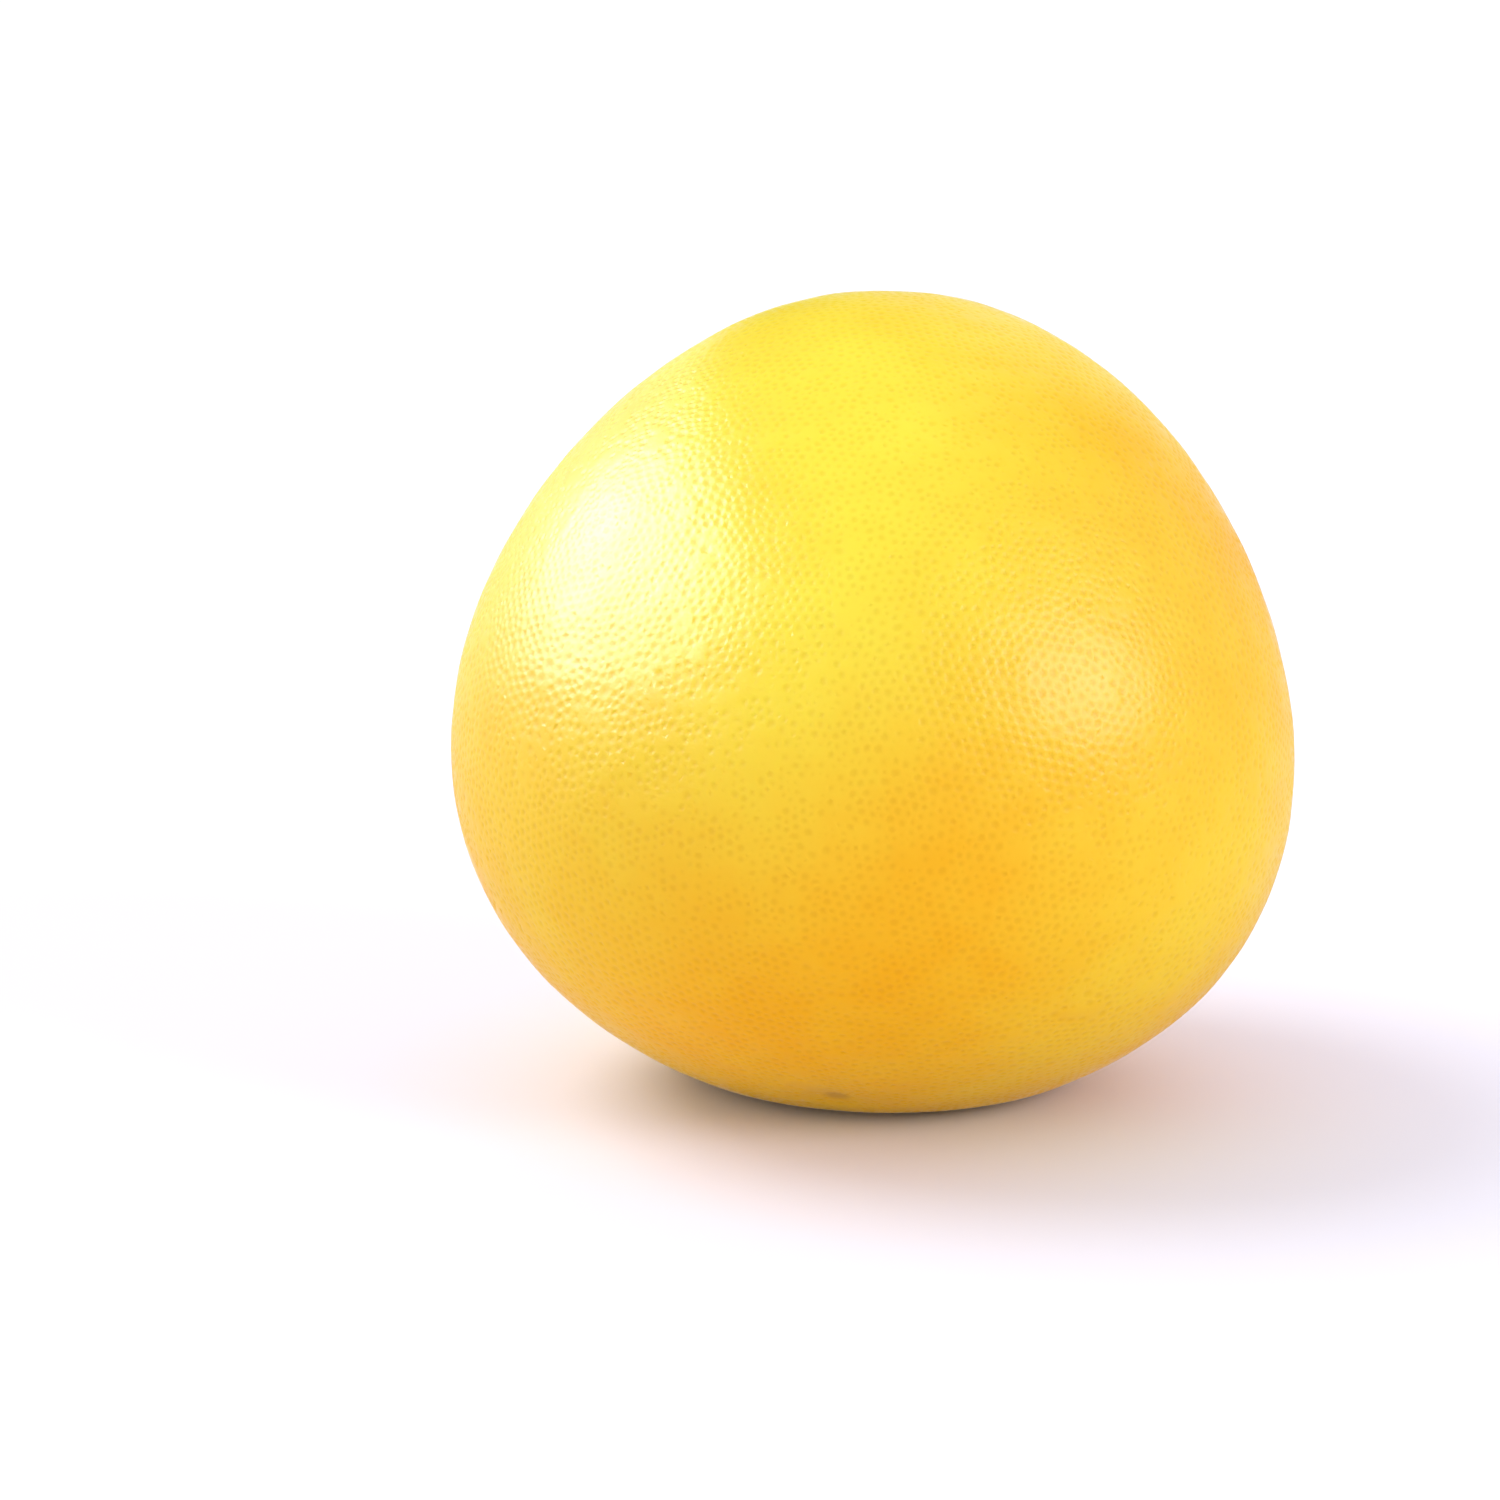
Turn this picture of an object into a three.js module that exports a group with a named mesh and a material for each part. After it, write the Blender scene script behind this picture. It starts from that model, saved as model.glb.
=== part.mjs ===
// A whole pomelo at rest: one solid fruit, with the dried stem button in the hollow at its stem end.
// Millimetres, +Z up. The origin is on the surface that it rests on, below the middle of its box.
// The fruit is shaped about its core, the line from the blossom end (-Z) to the stem end (+Z),
// and a leaning group then lays it on its rest spot.
import * as THREE from "three";

// Body of the fruit
const meanRadius = 77; // from the middle of the core to the skin
const coreShare = 0.012; // both ends of the core stand out by this share, and the girth is in by it
const pearShare = 0.036; // the stem half is slimmer by this share, and the blossom half is fuller
const girthShare = 0.03; // the girth is an oval, out and in by this share
const girthHeadingDeg = 6; // the oval's long way, around the core
const unevenness = 0.35; // long soft waves all over, in mm

// Stem end
const hollowDepth = 2.6;
const hollowRadius = 11;
const neckRise = 0.3; // the shoulder around the hollow
const neckRadius = 23;
const neckWidth = 10;
const furrowCount = 7;
const furrowDepth = 0.8;
const furrowInner = 8; // the furrows run from here to furrowOuter, in mm from the stem end
const furrowOuter = 30;

// Blossom end
const dimpleDepth = 0.9;
const dimpleRadius = 6;

// How it rests
const leanDeg = 31.4; // of the core, from upright
const leanHeadingDeg = 80; // where the stem end leans to, from +X towards +Y
const restDepth = 5.5; // how much the skin is pressed flat at its lowest point
const restBlend = 3.5; // height over which the flat spot turns into the round skin

// Stem button: the calyx disc, with its lobes, and the cut stub of the stem on it
const buttonGap = 0.3; // clear space between the calyx and the skin
const calyxRadius = 6.6;
const calyxThickness = 1.3;
const calyxLobes = 5;
const lobeReach = 1.2;
const stubRadius = 3;
const stubHeight = 3.8; // above the calyx
const stubFlare = 0.7; // wider where it meets the calyx
const pithDish = 0.4; // depth of the dished cut

// Fineness of the surfaces
const ringCount = 44;
const segmentCount = 60;
const ringCrowding = 0.11; // how much closer the rings are at both ends
const buttonSegments = 40;

const radians = THREE.MathUtils.degToRad;

function bump(distance, width) {
  return Math.exp(-((distance / width) ** 2));
}

// Distance from the middle of the core to a skin of revolution, at an angle from the stem end.
function profileRadius(angle) {
  const fromStem = angle * meanRadius;
  const fromBlossom = (Math.PI - angle) * meanRadius;
  const body = 1 + coreShare * Math.cos(2 * angle) + pearShare * Math.cos(3 * angle);
  const hollow = -hollowDepth * bump(fromStem, hollowRadius);
  const neck = neckRise * bump(fromStem - neckRadius, neckWidth);
  const dimple = -dimpleDepth * bump(fromBlossom, dimpleRadius);
  return meanRadius * body + hollow + neck + dimple;
}

// The furrows that spread from the stem end, narrow and unevenly spaced.
function furrow(angle, around) {
  const along = (angle * meanRadius - furrowInner) / (furrowOuter - furrowInner);
  if (along <= 0 || along >= 1) return 0;
  const fade = Math.sin(Math.PI * Math.sqrt(along)) ** 2;
  const phase = furrowCount * around + 0.9 * Math.sin(2 * around + 0.5);
  return -furrowDepth * fade * (0.5 + 0.5 * Math.cos(phase)) ** 2;
}

function waves(x, y, z) {
  const first = Math.sin(5.1 * x + 1.3) * Math.sin(4.3 * y + 0.7);
  const second = Math.sin(4.7 * z + 2.1 + 2 * x);
  return unevenness * (first + 0.6 * second);
}

// How far the skin stands from the profile's own radius, in the direction (x, y, z) from the middle.
function skinRadius(x, y, z) {
  const angle = Math.acos(THREE.MathUtils.clamp(z, -1, 1));
  const around = Math.atan2(y, x);
  const oval = girthShare * (x * x + y * y) * Math.cos(2 * (around - radians(girthHeadingDeg)));
  const open = THREE.MathUtils.smoothstep(angle * meanRadius, calyxRadius, neckRadius);
  return profileRadius(angle) * (1 + oval) + furrow(angle, around) + open * waves(x, y, z);
}

// Angles of the rings from the stem end to the blossom end, closest together at both ends.
function ringAngle(index) {
  const share = index / ringCount;
  return Math.PI * (share - ringCrowding * Math.sin(2 * Math.PI * share));
}

function turnedAboutCore(profile, segments) {
  return new THREE.LatheGeometry(profile, segments).rotateX(Math.PI / 2);
}

// Pulls every vertex out to the skin, then presses the lowest part flat. "up" is the sky's
// direction as the leaning fruit sees it.
function shapeSkin(geometry, up) {
  const positions = geometry.getAttribute("position");
  const point = new THREE.Vector3();
  let lowest = Infinity;
  for (let i = 0; i < positions.count; i++) {
    point.fromBufferAttribute(positions, i).normalize();
    point.multiplyScalar(skinRadius(point.x, point.y, point.z));
    positions.setXYZ(i, point.x, point.y, point.z);
    lowest = Math.min(lowest, point.dot(up));
  }
  const restLevel = lowest + restDepth;
  for (let i = 0; i < positions.count; i++) {
    point.fromBufferAttribute(positions, i);
    const height = point.dot(up) - restLevel;
    point.addScaledVector(up, pressed(height) - height);
    positions.setXYZ(i, point.x, point.y, point.z);
  }
}

// Height after pressing: flat below -restBlend, a smooth turn up to restBlend, untouched above.
function pressed(height) {
  if (height < -restBlend) return 0;
  if (height < restBlend) return (height + restBlend) ** 2 / (4 * restBlend);
  return height;
}

function makeFruit(up) {
  const profile = [];
  for (let i = ringCount; i >= 0; i--) {
    const angle = ringAngle(i);
    const onAxis = i === 0 || i === ringCount;
    const across = onAxis ? 0 : profileRadius(angle) * Math.sin(angle);
    profile.push(new THREE.Vector2(across, profileRadius(angle) * Math.cos(angle)));
  }
  const geometry = turnedAboutCore(profile, segmentCount);
  shapeSkin(geometry, up);
  geometry.computeVertexNormals();
  const rind = new THREE.MeshStandardMaterial({ color: 0xf7c62f, roughness: 0.48, metalness: 0 });
  const fruit = new THREE.Mesh(geometry, rind);
  fruit.name = "fruit";
  return fruit;
}

// A point over the floor of the hollow, "across" from the core and "above" the skin.
function overHollow(across, above) {
  const angle = Math.asin(across / profileRadius(0));
  return new THREE.Vector2(across, profileRadius(angle) * Math.cos(angle) + above);
}

// Spreads the calyx into lobes; the stub in its middle stays round.
function spreadLobes(geometry) {
  const positions = geometry.getAttribute("position");
  for (let i = 0; i < positions.count; i++) {
    const x = positions.getX(i);
    const y = positions.getY(i);
    const across = Math.hypot(x, y);
    const share = THREE.MathUtils.smoothstep(across, stubRadius + stubFlare, calyxRadius);
    const reach = share * lobeReach * Math.cos(calyxLobes * Math.atan2(y, x));
    const stretch = across > 0 ? 1 + reach / across : 1;
    positions.setXY(i, x * stretch, y * stretch);
  }
}

function makeStemButton() {
  const rimAbove = buttonGap + 0.5 * calyxThickness;
  const shoulderAbove = buttonGap + calyxThickness;
  const stubTop = overHollow(0, shoulderAbove + stubHeight).y;
  const profile = [
    overHollow(0, buttonGap),
    overHollow(0.35 * calyxRadius, buttonGap),
    overHollow(0.7 * calyxRadius, buttonGap),
    overHollow(calyxRadius - 0.3, buttonGap),
    overHollow(calyxRadius, rimAbove),
    overHollow(0.85 * calyxRadius, shoulderAbove - 0.15),
    overHollow(0.7 * calyxRadius, shoulderAbove),
    overHollow(stubRadius + stubFlare, shoulderAbove + 0.25),
    overHollow(stubRadius, shoulderAbove + 1.1),
    new THREE.Vector2(stubRadius, stubTop - 0.3),
    new THREE.Vector2(stubRadius - 0.3, stubTop),
    new THREE.Vector2(0.5 * stubRadius, stubTop - 0.6 * pithDish),
    new THREE.Vector2(0, stubTop - pithDish),
  ];
  const geometry = turnedAboutCore(profile, buttonSegments);
  spreadLobes(geometry);
  geometry.computeVertexNormals();
  const dried = new THREE.MeshStandardMaterial({ color: 0x8b7744, roughness: 0.85, metalness: 0 });
  const button = new THREE.Mesh(geometry, dried);
  button.name = "stem_button";
  return button;
}

function makePomelo() {
  const lean = radians(leanDeg);
  const heading = radians(leanHeadingDeg);
  const axis = new THREE.Vector3(-Math.sin(heading), Math.cos(heading), 0);
  const leaning = new THREE.Group();
  leaning.quaternion.setFromAxisAngle(axis, lean);
  const up = new THREE.Vector3(0, 0, 1).applyQuaternion(leaning.quaternion.clone().invert());
  leaning.add(makeFruit(up), makeStemButton());

  const box = new THREE.Box3().setFromObject(leaning, true);
  const middle = box.getCenter(new THREE.Vector3());
  leaning.position.set(-middle.x, -middle.y, -box.min.z);
  const pomelo = new THREE.Group();
  pomelo.add(leaning);
  return pomelo;
}

export default makePomelo();
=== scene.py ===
import math
import random

import bmesh
import bpy
from mathutils import Matrix, Vector, noise


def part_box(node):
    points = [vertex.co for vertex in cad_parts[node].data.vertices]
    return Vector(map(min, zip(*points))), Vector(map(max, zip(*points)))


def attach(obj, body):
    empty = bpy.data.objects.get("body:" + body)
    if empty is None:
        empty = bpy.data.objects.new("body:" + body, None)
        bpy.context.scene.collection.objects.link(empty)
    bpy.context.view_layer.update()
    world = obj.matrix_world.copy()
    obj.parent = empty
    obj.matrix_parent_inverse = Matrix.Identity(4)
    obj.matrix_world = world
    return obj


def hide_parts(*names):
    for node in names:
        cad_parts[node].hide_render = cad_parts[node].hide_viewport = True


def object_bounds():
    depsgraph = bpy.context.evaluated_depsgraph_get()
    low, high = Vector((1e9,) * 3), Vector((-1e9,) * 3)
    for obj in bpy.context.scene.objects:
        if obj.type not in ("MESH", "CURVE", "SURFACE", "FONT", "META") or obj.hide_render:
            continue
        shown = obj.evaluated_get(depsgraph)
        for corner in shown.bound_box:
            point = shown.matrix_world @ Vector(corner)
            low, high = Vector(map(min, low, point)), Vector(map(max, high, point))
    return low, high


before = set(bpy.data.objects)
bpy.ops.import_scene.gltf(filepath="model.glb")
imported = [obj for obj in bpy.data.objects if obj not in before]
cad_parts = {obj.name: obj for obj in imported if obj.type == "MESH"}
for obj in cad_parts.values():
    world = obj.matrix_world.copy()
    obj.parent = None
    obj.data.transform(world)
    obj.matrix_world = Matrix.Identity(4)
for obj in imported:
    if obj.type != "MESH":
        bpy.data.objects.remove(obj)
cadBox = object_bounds()
fruitMiddle = (cadBox[0] + cadBox[1]) / 2
upright = Vector((0, 0, 1))
print("frame loaded:", sorted(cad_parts))


# the fruit is shaped about its own core, blossom end down and stem end up, and then leaned over
body = {
    "meanRadius": 0.077,
    "coreShare": 0.012,  # both ends of the core stand out
    "pearShare": 0.036,  # slim stem half, full blossom half
    "girthShare": 0.03,  # the girth is an oval
    "girthHeading": math.radians(6),
    "unevenness": 0.00035,
    "waves": (5.1, 4.3, 4.7),  # how closely the uneven places follow each other, along each axis
    "waveStarts": (1.3, 0.7, 2.1),
    "hollowDepth": 0.0026,  # stem end
    "hollowRadius": 0.011,
    "neckRise": 0.0003,
    "neckRadius": 0.023,
    "neckWidth": 0.010,
    "furrowCount": 7,
    "furrowSway": 0.9,  # they aren't evenly spaced
    "furrowDepth": 0.0008,
    "furrowInner": 0.008,
    "furrowOuter": 0.030,
    "dimpleDepth": 0.0009,  # blossom end
    "dimpleRadius": 0.006,
    "calyxRadius": 0.0066,
    "lean": math.radians(31.4),
    "leanHeading": math.radians(80),
    "restDepth": 0.0055,
    "restBlend": 0.0035,
}


def bump(distance, width):
    return math.exp(-((distance / width) ** 2))


def smoothStep(value, low, high):
    share = min(max((value - low) / (high - low), 0), 1)
    return share * share * (3 - 2 * share)


def profileRadius(angle):
    fromStem = angle * body["meanRadius"]
    fromBlossom = (math.pi - angle) * body["meanRadius"]
    roundness = 1 + body["coreShare"] * math.cos(2 * angle) + body["pearShare"] * math.cos(3 * angle)
    hollow = -body["hollowDepth"] * bump(fromStem, body["hollowRadius"])
    neck = body["neckRise"] * bump(fromStem - body["neckRadius"], body["neckWidth"])
    dimple = -body["dimpleDepth"] * bump(fromBlossom, body["dimpleRadius"])
    return body["meanRadius"] * roundness + hollow + neck + dimple


def furrow(angle, around):
    span = body["furrowOuter"] - body["furrowInner"]
    along = (angle * body["meanRadius"] - body["furrowInner"]) / span
    if along <= 0 or along >= 1:
        return 0
    fade = math.sin(math.pi * math.sqrt(along)) ** 2
    phase = body["furrowCount"] * around + body["furrowSway"] * math.sin(2 * around + 0.5)
    return -body["furrowDepth"] * fade * (0.5 + 0.5 * math.cos(phase)) ** 2


def waves(d):
    x, y, z = (rate * share + start for rate, share, start in zip(body["waves"], d, body["waveStarts"]))
    first = math.sin(x) * math.sin(y)
    second = math.sin(z + 2 * d.x)
    return body["unevenness"] * (first + 0.6 * second)


def skinRadius(d):
    angle = math.acos(min(max(d.z, -1), 1))
    around = math.atan2(d.y, d.x)
    girth = body["girthShare"] * (d.x * d.x + d.y * d.y) * math.cos(2 * (around - body["girthHeading"]))
    openSkin = smoothStep(angle * body["meanRadius"], body["calyxRadius"], body["neckRadius"])
    return profileRadius(angle) * (1 + girth) + furrow(angle, around) + openSkin * waves(d)


def pressed(height):
    blend = body["restBlend"]
    if height < -blend:
        return 0
    if height < blend:
        return (height + blend) ** 2 / (4 * blend)
    return height


heading = body["leanHeading"]
leaning = Matrix.Rotation(body["lean"], 4, Vector((-math.sin(heading), math.cos(heading), 0)))


# the peel is a net of oil glands, each one a small pit
peel = {
    "glandRows": 50,  # along each side of the twenty starting faces; the pits are about 1.9 mm apart
    "jitter": 0.0055,
    "relaxSteps": 5,
    "pitDepth": 0.00022,
    "shallowest": 0.6,  # of the pits, as a share of the deepest
    "tight": 0.45,  # a pit crowded by its neighbours to this share of the usual space is left out
    "roomy": 0.8,  # and from this share on it has its full depth
    "ripple": 0.00010,  # soft unevenness, some pits across
    "rippleSize": 0.007,
    "swell": 0.00030,
    "swellSize": 0.028,
    "smoothInner": 0.008,  # the skin is smoother from here in, under the calyx
    "smoothOuter": 0.020,
    "smoothPits": 0.3,  # what is left of the pits there
    "stemTint": 0.030,  # how far the green reaches from the stem end
    "blossomScar": 0.0032,
    "ripeness": 0.61,  # all over; more of it in broad soft patches, and towards the bottom and right, where the side term paints shade: golden and darker away from the key light
    "paintedShadeSide": Vector((0.22, 0, -0.42)),
    "ripePatch": -0.80,  # how strong the patches are
    "ripePatchScale": 1.15,
    "ripePatchPlace": Vector((11.0, 12.8, -7.1)),
    "seed": 7,
}


def makeGlandNet(rng):
    bm = bmesh.new()
    bmesh.ops.create_icosphere(bm, subdivisions=1, radius=1)
    bmesh.ops.subdivide_edges(bm, edges=bm.edges[:], cuts=peel["glandRows"] - 1, use_grid_fill=True)
    for v in bm.verts:
        v.co.normalize()
        v.co += Vector([rng.gauss(0, peel["jitter"]) for _ in range(3)])
        v.co.normalize()
    reNet(bm)
    allAxes = {"use_axis_x": True, "use_axis_y": True, "use_axis_z": True}
    for _ in range(peel["relaxSteps"]):
        bmesh.ops.smooth_vert(bm, verts=bm.verts[:], factor=0.5, **allAxes)
        for v in bm.verts:
            v.co.normalize()
    reNet(bm)
    return bm


def reNet(bm):
    # joins the loose points of the ball again, each to its nearest neighbours
    bmesh.ops.delete(bm, geom=bm.edges[:] + bm.faces[:], context="EDGES_FACES")
    bmesh.ops.convex_hull(bm, input=bm.verts[:])
    loose = [v for v in bm.verts if not v.link_faces]
    bmesh.ops.delete(bm, geom=loose, context="VERTS")


def makePeel():
    rng = random.Random(peel["seed"])
    bm = makeGlandNet(rng)
    glandLayer = bm.verts.layers.float.new("gland")
    usual = sum(e.calc_length() for e in bm.edges) / len(bm.edges)
    for v in bm.verts:
        space = min(e.calc_length() for e in v.link_edges) / usual
        depth = peel["shallowest"] + (1 - peel["shallowest"]) * rng.random()
        v[glandLayer] = depth * smoothStep(space, peel["tight"], peel["roomy"])
    netEdges = bm.edges[:]
    ridges = bmesh.ops.poke(bm, faces=bm.faces[:])["verts"]
    for v in ridges:
        v[glandLayer] = 0
    bmesh.ops.rotate_edges(bm, edges=netEdges)  # every pit gets a ring of ridge points
    print("peel net:", len(bm.verts), "points,", len(bm.faces), "faces")

    markPlaces(bm)
    for v in bm.verts:
        d = v.co.normalized()
        v.co = d * skinRadius(d)
    restAndRoughen(bm, glandLayer)
    bm.transform(leaning)
    bmesh.ops.recalc_face_normals(bm, faces=bm.faces[:])
    shift = centreOnCad(bm)
    markRipenessAndShade(bm)
    finishPiece(bm, "peelSkin", "fruit", peelFinish())
    return shift


def stemDistance(d):
    return math.acos(min(max(d.z, -1), 1)) * body["meanRadius"]


def markPlaces(bm):
    # how near the skin is to either end, for the finish to read
    stemLayer = bm.verts.layers.float.new("nearStem")
    blossomLayer = bm.verts.layers.float.new("nearBlossom")
    for v in bm.verts:
        fromStem = stemDistance(v.co.normalized())
        v[stemLayer] = bump(fromStem, peel["stemTint"])
        v[blossomLayer] = bump(math.pi * body["meanRadius"] - fromStem, peel["blossomScar"])


def markRipenessAndShade(bm):
    layer = bm.verts.layers.float.new("ripeAndShade")
    for v in bm.verts:
        d = (v.co - fruitMiddle).normalized()
        patch = noise.noise(d * peel["ripePatchScale"] + peel["ripePatchPlace"])
        # the side term is painted shade: the skin turns golden and darker towards the bottom and right,
        # away from the key light
        v[layer] = peel["ripeness"] + d.dot(peel["paintedShadeSide"]) + peel["ripePatch"] * patch


def restAndRoughen(bm, glandLayer):
    up = leaning.inverted() @ upright
    lowest = min(v.co.dot(up) for v in bm.verts)
    restLevel = lowest + body["restDepth"]
    for v in bm.verts:
        place = v.co.copy()
        out = place.normalized()
        height = place.dot(up) - restLevel
        v.co += up * (pressed(height) - height)
        free = smoothStep(height, -body["restBlend"], 3 * body["restBlend"])
        past = smoothStep(stemDistance(out), peel["smoothInner"], peel["smoothOuter"])
        fine = noise.noise(place / peel["rippleSize"]) * peel["ripple"]
        broad = noise.noise(place / peel["swellSize"]) * peel["swell"]
        share = peel["smoothPits"] + (1 - peel["smoothPits"]) * past
        pit = v[glandLayer] * peel["pitDepth"] * share
        v.co += out * (free * past * (fine + broad) - pit)


def centreOnCad(bm):
    low, high = cornersOf(bm)
    cadLow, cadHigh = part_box("fruit")
    shift = (cadLow + cadHigh) / 2 - (low + high) / 2
    shift.z = cadLow.z - low.z
    bmesh.ops.translate(bm, verts=bm.verts[:], vec=shift)
    return shift


def cornersOf(bm):
    low = Vector([min(v.co[i] for v in bm.verts) for i in range(3)])
    high = Vector([max(v.co[i] for v in bm.verts) for i in range(3)])
    return low, high


def finishPiece(bm, name, node, material):
    mesh = bpy.data.meshes.new(name)
    bm.to_mesh(mesh)
    bm.free()
    mesh.shade_smooth()
    mesh.materials.append(material)
    piece = bpy.data.objects.new(name, mesh)
    bpy.context.scene.collection.objects.link(piece)
    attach(piece, "root")
    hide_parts(node)
    print("made", name, "with", len(mesh.polygons), "faces")


def newMaterial(name):
    material = bpy.data.materials.new(name)
    material.use_nodes = True
    nodes = material.node_tree.nodes
    nodes.clear()
    output = nodes.new("ShaderNodeOutputMaterial")
    shader = nodes.new("ShaderNodeBsdfPrincipled")
    material.node_tree.links.new(shader.outputs[0], output.inputs["Surface"])
    return material, shader


def wire(owner, output, socket):
    owner.node_tree.links.new(output, socket)


def addNoise(material, vector, scale, detail=2.0, roughness=0.5):
    node = material.node_tree.nodes.new("ShaderNodeTexNoise")
    node.inputs["Scale"].default_value = scale
    node.inputs["Detail"].default_value = detail
    node.inputs["Roughness"].default_value = roughness
    wire(material, vector, node.inputs["Vector"])
    return node.outputs["Fac"]


def addRange(material, value, low, high, toLow=0.0, toHigh=1.0):
    node = material.node_tree.nodes.new("ShaderNodeMapRange")
    node.interpolation_type = "SMOOTHSTEP"
    for socket, number in zip(node.inputs[1:5], (low, high, toLow, toHigh)):
        socket.default_value = number
    wire(material, value, node.inputs["Value"])
    return node.outputs["Result"]


def addMath(owner, operation, *values):
    node = owner.node_tree.nodes.new("ShaderNodeMath")
    node.operation = operation
    for socket, value in zip(node.inputs, values):
        if isinstance(value, (int, float)):
            socket.default_value = value
        else:
            wire(owner, value, socket)
    return node.outputs[0]


def addMix(material, share, first, second, blend="MIX"):
    node = material.node_tree.nodes.new("ShaderNodeMix")
    node.data_type = "RGBA"
    node.blend_type = blend
    for socket, value in zip((node.inputs[0], node.inputs[6], node.inputs[7]), (share, first, second)):
        if isinstance(value, (int, float)):
            socket.default_value = value
        elif isinstance(value, tuple):
            socket.default_value = (*value, 1)
        else:
            wire(material, value, socket)
    return node.outputs[2]


def addAttribute(material, name):
    node = material.node_tree.nodes.new("ShaderNodeAttribute")
    node.attribute_name = name
    return node.outputs["Fac"]


def objectPlace(material):
    return material.node_tree.nodes.new("ShaderNodeTexCoord").outputs["Object"]


def addBump(material, height, distance, strength=1.0, under=None):
    node = material.node_tree.nodes.new("ShaderNodeBump")
    node.inputs["Distance"].default_value = distance
    node.inputs["Strength"].default_value = strength
    wire(material, height, node.inputs["Height"])
    if under is not None:
        wire(material, under, node.inputs["Normal"])
    return node.outputs["Normal"]


peelLook = {
    "golden": (0.88, 0.415, 0.001),  # where it is ripest, and where shade is painted on the bottom and right
    "lemon": (0.88, 0.74, 0.048),
    "gland": (0.88, 0.82, 0.45),  # what the skin's colour is dimmed by in a pit: partly the gland's own darker colour, partly painted shade in the pit
    "glandAndPitShadeShare": 0.5,
    "stemGreen": (0.65, 0.54, 0.042),
    "stemShare": 0.75,
    "scar": (0.50, 0.24, 0.04),
    "scarShare": 0.55,
    "mottleSize": 0.012,
    "mottle": 0.35,
    "patchSize": 0.017,  # the wax is uneven, shinier in patches
    "shiny": 0.38,  # roughness
    "dull": 0.46,
    "pitDulling": 0.10,
    "pitBump": 0.00011,
    "grainSize": 0.0006,
    "grainBump": 0.00006,
    "grainStrength": 0.6,
    "allOver": {
        "IOR": 1.46,
        "Specular IOR Level": 0.15,
        "Subsurface Weight": 0.18,
        "Subsurface Radius": (1.0, 0.55, 0.12),
        "Subsurface Scale": 0.006,
        "Coat Weight": 0.05,
        "Coat Roughness": 0.25,
        "Sheen Weight": 0.62,
        "Sheen Roughness": 0.14,
    },
}


def peelFinish():
    material, shader = newMaterial("waxyPeel")
    place = objectPlace(material)
    gland = addAttribute(material, "gland")
    cloud = addNoise(material, place, 1 / peelLook["mottleSize"], 3, 0.55)
    mottle = addMath(material, "SUBTRACT", cloud, 0.5)
    mottle = addMath(material, "MULTIPLY", mottle, peelLook["mottle"])
    # lemon turns golden with ripeness, patches and mottle, and with the painted shade towards the
    # bottom and right
    ripeAndShade = addMath(material, "ADD", addAttribute(material, "ripeAndShade"), mottle)
    colour = addMix(material, ripeAndShade, peelLook["lemon"], peelLook["golden"])
    # darker dots at the glands: their own colour, and painted shade in the pits
    dots = addRange(material, gland, 0.15, 0.75, 0, peelLook["glandAndPitShadeShare"])
    colour = addMix(material, dots, colour, peelLook["gland"], "MULTIPLY")
    stem = addMath(material, "MULTIPLY", addAttribute(material, "nearStem"), peelLook["stemShare"])
    colour = addMix(material, stem, colour, peelLook["stemGreen"])
    blossom = addAttribute(material, "nearBlossom")
    blossom = addRange(material, blossom, 0.30, 0.90, 0, peelLook["scarShare"])
    colour = addMix(material, blossom, colour, peelLook["scar"])
    wire(material, colour, shader.inputs["Base Color"])

    waxy = addNoise(material, place, 1 / peelLook["patchSize"], 3, 0.6)
    roughness = addRange(material, waxy, 0.3, 0.7, peelLook["shiny"], peelLook["dull"])
    duller = addMath(material, "MULTIPLY", dots, peelLook["pitDulling"])
    wire(material, addMath(material, "ADD", roughness, duller), shader.inputs["Roughness"])

    pits = addRange(material, gland, 0.0, 0.9, 1, 0)
    normal = addBump(material, pits, peelLook["pitBump"])
    grain = addNoise(material, place, 1 / peelLook["grainSize"], 3, 0.6)
    normal = addBump(material, grain, peelLook["grainBump"], peelLook["grainStrength"], normal)
    wire(material, normal, shader.inputs["Normal"])
    for name, value in peelLook["allOver"].items():
        shader.inputs[name].default_value = value
    return material


# the stem button is the dried calyx with the cut stub of the stem on it
button = {
    "gap": 0.0002,
    "radius": 0.0066,
    "thickness": 0.0013,
    "lobes": 5,
    "lobeReach": 0.0012,
    "lobeUneven": 0.0004,
    "stubRadius": 0.0030,
    "stubHeight": 0.0038,
    "stubFlare": 0.0007,
    "dish": 0.0004,  # of the cut end
    "cutRim": (0.75, 0.95),  # its paler middle stops between these shares of the stub's radius
    "wrinkle": 0.00012,
    "wrinkleTurn": 4,  # how close the wrinkles are, round the calyx
    "wrinkleRise": 900,  # up the stub, per metre
    "wrinkleReach": 500,  # and outwards
    "ribs": 11,  # shallow ones, up the side of the stub
    "ribSway": 1.5,
    "ribDepth": 0.00010,
    "ribFoot": (0.0018, 0.0028),  # they begin between these heights
    "turns": 120,
    "fineCuts": 3,
}


def overHollow(across, above):
    angle = math.asin(across / profileRadius(0))
    return Vector((across, 0, profileRadius(angle) * math.cos(angle) + above))


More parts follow.
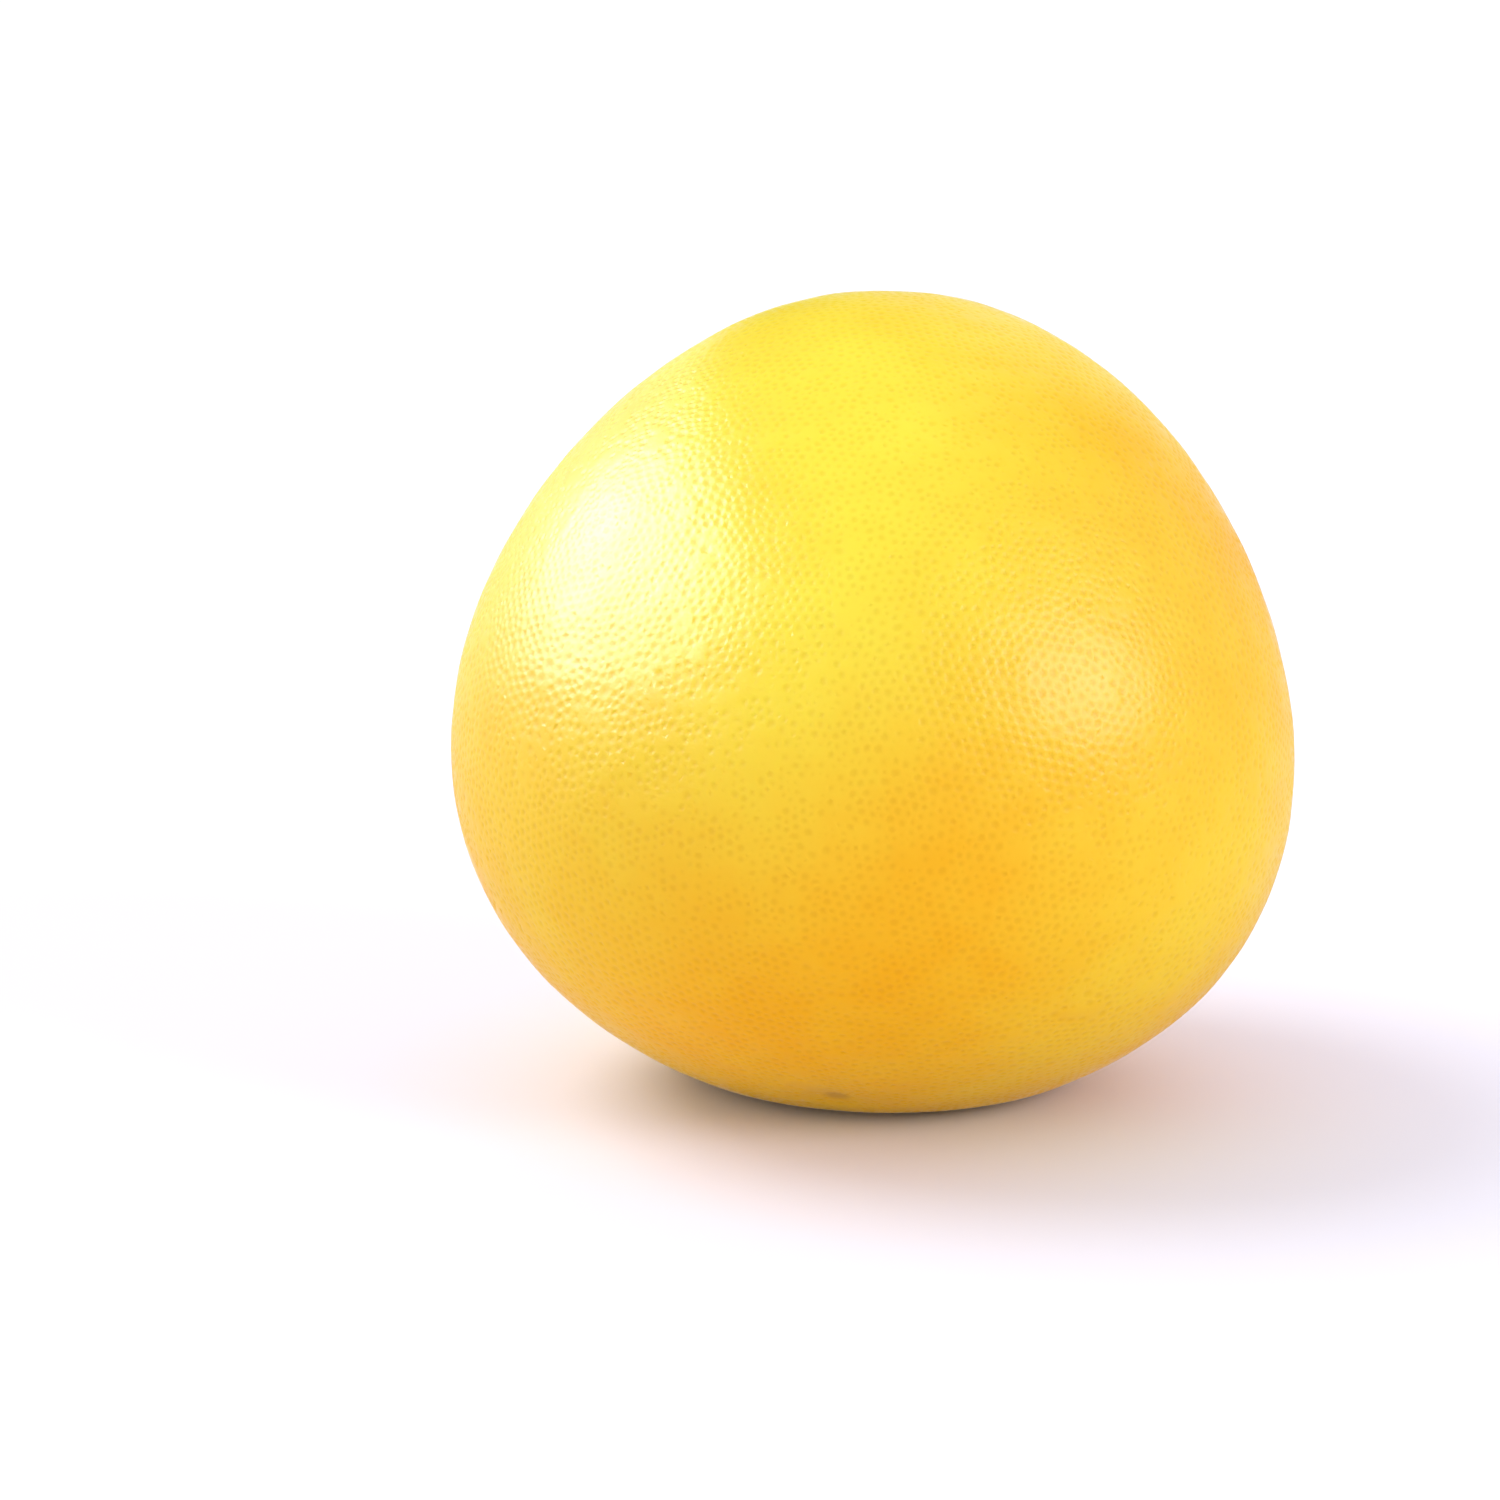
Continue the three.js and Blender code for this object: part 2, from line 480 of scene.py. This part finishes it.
def buttonProfile():
    gap, radius, thick = button["gap"], button["radius"], button["thickness"]
    shoulder = gap + thick
    stub, flare = button["stubRadius"], button["stubFlare"]
    top = overHollow(0, shoulder + button["stubHeight"]).z
    return [
        overHollow(0, gap),
        overHollow(0.35 * radius, gap),
        overHollow(0.7 * radius, gap),
        overHollow(radius - 0.0004, gap),
        overHollow(radius, gap + 0.35 * thick),
        overHollow(radius - 0.0002, gap + 0.7 * thick),
        overHollow(0.88 * radius, shoulder - 0.0001),
        overHollow(0.75 * radius, shoulder),
        overHollow(stub + flare, shoulder + 0.00015),
        overHollow(stub + 0.3 * flare, shoulder + 0.0006),
        overHollow(stub, shoulder + 0.0013),
        Vector((stub * 0.97, 0, top - 0.0012)),
        Vector((stub, 0, top - 0.0004)),
        Vector((stub - 0.0002, 0, top - 0.0001)),
        Vector((stub - 0.0005, 0, top)),
        Vector((stub * 0.6, 0, top - 0.5 * button["dish"])),
        Vector((0, 0, top - button["dish"])),
    ]


def makeButton(shift):
    # shift is the peel's, so that the button sits in its hollow
    bm = bmesh.new()
    line = [bm.verts.new(p) for p in buttonProfile()]
    edges = [bm.edges.new(pair) for pair in zip(line, line[1:])]
    bmesh.ops.subdivide_edges(bm, edges=edges, cuts=button["fineCuts"])
    bmesh.ops.spin(
        bm,
        geom=bm.verts[:] + bm.edges[:],
        cent=(0, 0, 0),
        axis=(0, 0, 1),
        angle=2 * math.pi,
        steps=button["turns"],
        use_merge=True,
    )
    bmesh.ops.remove_doubles(bm, verts=bm.verts[:], dist=1e-6)
    bmesh.ops.recalc_face_normals(bm, faces=bm.faces[:])
    bottom = overHollow(0, 0).z
    cutLayer = bm.verts.layers.float.new("cutEnd")
    cutLevel = button["gap"] + button["thickness"] + button["stubHeight"] - button["dish"]
    for v in bm.verts:
        across = math.hypot(v.co.x, v.co.y)
        inside = 1 - smoothStep(across / button["stubRadius"], *button["cutRim"])
        level = smoothStep(v.co.z - bottom, cutLevel - 0.0006, cutLevel - 0.0001)
        v[cutLayer] = inside * level
        v.co = driedPoint(v.co, bottom)
    bm.transform(leaning)
    bmesh.ops.translate(bm, verts=bm.verts[:], vec=shift)
    finishPiece(bm, "stemButton", "stem_button", driedFinish())


def driedPoint(point, bottom):
    across = math.hypot(point.x, point.y)
    if across == 0:
        return point.copy()
    side = Vector((point.x, point.y, 0)) / across
    around = math.atan2(point.y, point.x)
    share = smoothStep(across, button["stubRadius"] + button["stubFlare"], button["radius"])
    reach = button["lobeReach"] * math.cos(button["lobes"] * around)
    reach += button["lobeUneven"] * noise.noise(side * 3.5)
    height = point.z - bottom
    phase = button["ribs"] * around + button["ribSway"] * math.sin(3 * around)
    rib = button["ribDepth"] * math.cos(phase)
    rib *= smoothStep(height, *button["ribFoot"]) * smoothStep(across, 0.001, 0.0025)
    moved = point + side * (share * reach + rib)
    spread = Vector((0, 0, height * button["wrinkleRise"] + across * button["wrinkleReach"]))
    rise = button["wrinkle"] * noise.noise(side * button["wrinkleTurn"] + spread)
    moved.z += smoothStep(height, 0.0006, 0.0014) * rise
    return moved


buttonLook = {
    "dry": (0.25, 0.17, 0.065),
    "green": (0.20, 0.21, 0.055),
    "dark": (0.085, 0.055, 0.022),
    "cut": (0.50, 0.38, 0.19),  # the paler end of the stub
    "mottles": 260,  # per metre
    "specks": 1400,
    "fibres": 1800,
    "fibreBump": 0.00015,
    "roughness": (0.72, 0.90),
}


def driedFinish():
    material, shader = newMaterial("driedCalyx")
    place = objectPlace(material)
    mottle = addRange(material, addNoise(material, place, buttonLook["mottles"], 4, 0.6), 0.35, 0.65)
    colour = addMix(material, mottle, buttonLook["dry"], buttonLook["green"])
    cut = addRange(material, addAttribute(material, "cutEnd"), 0.1, 0.9)
    colour = addMix(material, cut, colour, buttonLook["cut"])
    specks = addNoise(material, place, buttonLook["specks"], 3, 0.65)
    specks = addRange(material, specks, 0.55, 0.72)
    colour = addMix(material, specks, colour, buttonLook["dark"])
    wire(material, colour, shader.inputs["Base Color"])
    rough = addRange(material, mottle, 0, 1, *buttonLook["roughness"])
    wire(material, rough, shader.inputs["Roughness"])
    fibres = addNoise(material, place, buttonLook["fibres"], 4, 0.7)
    normal = addBump(material, fibres, buttonLook["fibreBump"], 0.8)
    wire(material, normal, shader.inputs["Normal"])
    return material


studio = {
    "floorSize": 30.0,
    "floorColours": ((0.83, 0.84, 0.91), (0.85, 0.86, 0.93)),
    "floorClouds": 2.0,  # per metre
    "floorRoughness": 0.75,
    "roomColour": (0.90, 0.885, 1.0),
    "roomStrength": 0.84,
    "roomGlows": (
        (Vector((0, 1, 0.25)), 0.5),  # back wall
        (Vector((-1, 0, 0.3)), 0.25),  # left wall
        (Vector((0.3, -1, 0)), 0.15),  # from the front, low
    ),
    "backdropColour": (1.0, 0.985, 1.0),  # the clean white behind
    "keyFrom": Vector((-0.59, 0.19, 0.785)),
    "keyColour": (1, 0.985, 0.95),
    "keyStrength": 1.15,
    "keySpread": math.radians(34),
    "windowFrom": Vector((-0.805, 0.03, 0.59)),  # the bright window that the waxy skin mirrors
    "windowAlong": Vector((0, 1, 0)),
    "windowDistance": 1.05,
    "windowSize": (1.3, 0.85),
    "windowPower": 103.0,
    "windowFlagAt": Vector((-0.002, 0.007, 0.143)),  # from the middle of the fruit
    "windowFlagSize": (0.30, 0.15),
    "windowFlagAlong": Vector((0.06, 1, 0.08)),  # turned a little, so it hangs lower at the front
    "fillFrom": Vector((0.785, -0.447, 0.427)),
    "fillStrength": 0.85,
    "fillSpread": math.radians(22),
    "lanternDistance": 1.36,
    "lanternSize": (0.7, 0.8),  # what the skin mirrors of it
    "lanternPower": 35.0,
    "lanternFlagAt": Vector((0.068, 0.010, 0.112)),
    "lanternFlagSize": (0.13, 0.06),
}

view = {
    "lens": 97.4,
    "distance": 0.760,
    "elevation": math.radians(12),
    "frameSide": 1500,
    "pixelsPerMetre": 5340,
    "fruitAt": (871.4, 698.3),  # where the middle of the fruit lies in the frame
}


def makeFloor():
    bm = bmesh.new()
    bmesh.ops.create_grid(bm, x_segments=2, y_segments=2, size=studio["floorSize"] / 2)
    mesh = bpy.data.meshes.new("floor")
    bm.to_mesh(mesh)
    bm.free()
    material, shader = newMaterial("paleFloor")
    cloud = addNoise(material, objectPlace(material), studio["floorClouds"])
    colour = addMix(material, cloud, *studio["floorColours"])
    wire(material, colour, shader.inputs["Base Color"])
    shader.inputs["Roughness"].default_value = studio["floorRoughness"]
    shader.inputs["Specular IOR Level"].default_value = 0
    mesh.materials.append(material)
    floor = bpy.data.objects.new("floor", mesh)
    bpy.context.scene.collection.objects.link(floor)


def makeWorld():
    world = bpy.data.worlds.new("studioWorld")
    world.use_nodes = True
    nodes, links = world.node_tree.nodes, world.node_tree.links
    direction = nodes.new("ShaderNodeTexCoord").outputs["Generated"]
    strength = studio["roomStrength"]
    for towards, glow in studio["roomGlows"]:
        facing = nodes.new("ShaderNodeVectorMath")
        facing.operation = "DOT_PRODUCT"
        facing.inputs[1].default_value = towards.normalized()
        links.new(direction, facing.inputs[0])
        above = addMath(world, "MAXIMUM", facing.outputs["Value"], 0)
        soft = addMath(world, "POWER", above, 2)
        strength = addMath(world, "MULTIPLY_ADD", soft, glow, strength)
    room = nodes["Background"]
    room.inputs["Color"].default_value = (*studio["roomColour"], 1)
    links.new(strength, room.inputs["Strength"])
    backdrop = nodes.new("ShaderNodeBackground")
    backdrop.inputs["Color"].default_value = (*studio["backdropColour"], 1)
    mix = nodes.new("ShaderNodeMixShader")
    links.new(nodes.new("ShaderNodeLightPath").outputs["Is Camera Ray"], mix.inputs[0])
    links.new(room.outputs[0], mix.inputs[1])
    links.new(backdrop.outputs[0], mix.inputs[2])
    links.new(mix.outputs[0], nodes["World Output"].inputs["Surface"])
    world.cycles.sampling_method = "NONE"  # so the flags don't dim the room
    bpy.context.scene.world = world


def turnTo(facing, along):
    # a turn that points Z at the given direction, and X along the other as far as it can
    out = facing.normalized()
    across = (along - along.dot(out) * out).normalized()
    return Matrix((across, out.cross(across), out)).transposed()


def placeLamp(light, place, turn):
    lamp = bpy.data.objects.new(light.name, light)
    lamp.matrix_world = Matrix.Translation(fruitMiddle + place) @ turn.to_4x4()
    lamp.visible_camera = False
    bpy.context.scene.collection.objects.link(lamp)
    return lamp


def makeFlags():
    # black sheets that keep the mirrored lamps off the top and the far side, and shade nothing else
    s = studio
    windowTurn = turnTo(s["windowFrom"], s["windowFlagAlong"])
    lanternTurn = turnTo(s["fillFrom"], s["fillFrom"].cross(upright))
    flags = (
        makeFlag("windowFlag", windowTurn, s["windowFlagAt"], s["windowFlagSize"]),
        makeFlag("lanternFlag", lanternTurn, s["lanternFlagAt"], s["lanternFlagSize"]),
    )
    passed = bpy.data.collections.new("passedByLights")
    for flag in flags:
        passed.objects.link(flag)
    for link in passed.collection_objects:
        link.light_linking.link_state = "EXCLUDE"
    return passed


def makeFlag(name, turn, place, size):
    middle = fruitMiddle + place
    bm = bmesh.new()
    bmesh.ops.create_grid(bm, x_segments=1, y_segments=1, size=0.5)
    for v in bm.verts:
        v.co = middle + turn @ Vector((v.co.x * size[0], v.co.y * size[1], 0))
    mesh = bpy.data.meshes.new(name)
    bm.to_mesh(mesh)
    bm.free()
    material, shader = newMaterial("blackCloth")
    shader.inputs["Base Color"].default_value = (0, 0, 0, 1)
    shader.inputs["Specular IOR Level"].default_value = 0
    mesh.materials.append(material)
    flag = bpy.data.objects.new(name, mesh)
    flag.visible_camera = False
    flag.visible_diffuse = False
    bpy.context.scene.collection.objects.link(flag)
    return flag


def makeSoftLight(name, direction, strength, spread, colour, passed):
    # lights the skin and the floor, and isn't mirrored
    light = bpy.data.lights.new(name, "SUN")
    light.energy = strength
    light.angle = spread
    light.color = colour
    lamp = placeLamp(light, 2 * direction.normalized(), turnTo(direction, upright))
    lamp.visible_glossy = False
    lamp.light_linking.blocker_collection = passed


def makeMirrored(name, direction, distance, along, size, power):
    # only mirrored in the waxy skin
    light = bpy.data.lights.new(name, "AREA")
    light.shape = "ELLIPSE"
    light.size, light.size_y = size
    light.energy = power
    lamp = placeLamp(light, distance * direction.normalized(), turnTo(direction, along))
    lamp.visible_diffuse = False


def makeLights():
    s = studio
    passed = makeFlags()
    makeSoftLight("keyLight", s["keyFrom"], s["keyStrength"], s["keySpread"], s["keyColour"], passed)
    makeSoftLight("fillLight", s["fillFrom"], s["fillStrength"], s["fillSpread"], (1, 1, 1), passed)
    window = s["windowFrom"], s["windowDistance"], s["windowAlong"], s["windowSize"]
    makeMirrored("window", *window, s["windowPower"])
    lantern = s["fillFrom"], s["lanternDistance"], upright, s["lanternSize"]
    makeMirrored("lantern", *lantern, s["lanternPower"])


def makeCamera():
    back = Vector((0, -math.cos(view["elevation"]), math.sin(view["elevation"])))
    skyward = Vector((0, math.sin(view["elevation"]), math.cos(view["elevation"])))
    half = view["frameSide"] / 2
    aside = (half - view["fruitAt"][0]) / view["pixelsPerMetre"]
    below = (view["fruitAt"][1] - half) / view["pixelsPerMetre"]
    aim = fruitMiddle + Vector((aside, 0, 0)) + skyward * below
    data = bpy.data.cameras.new("camera")
    data.lens = view["lens"]
    data.sensor_width = 36
    camera = bpy.data.objects.new("camera", data)
    camera.location = fruitMiddle + back * view["distance"]
    camera.rotation_mode = "QUATERNION"
    camera.rotation_quaternion = (aim - camera.location).to_track_quat("-Z", "Y")
    bpy.context.scene.collection.objects.link(camera)
    bpy.context.scene.camera = camera


makeCamera()
peelShift = makePeel()
makeButton(peelShift)
makeFloor()
makeWorld()
makeLights()
bpy.context.scene.view_settings.view_transform = "Standard"
print("scene ready")
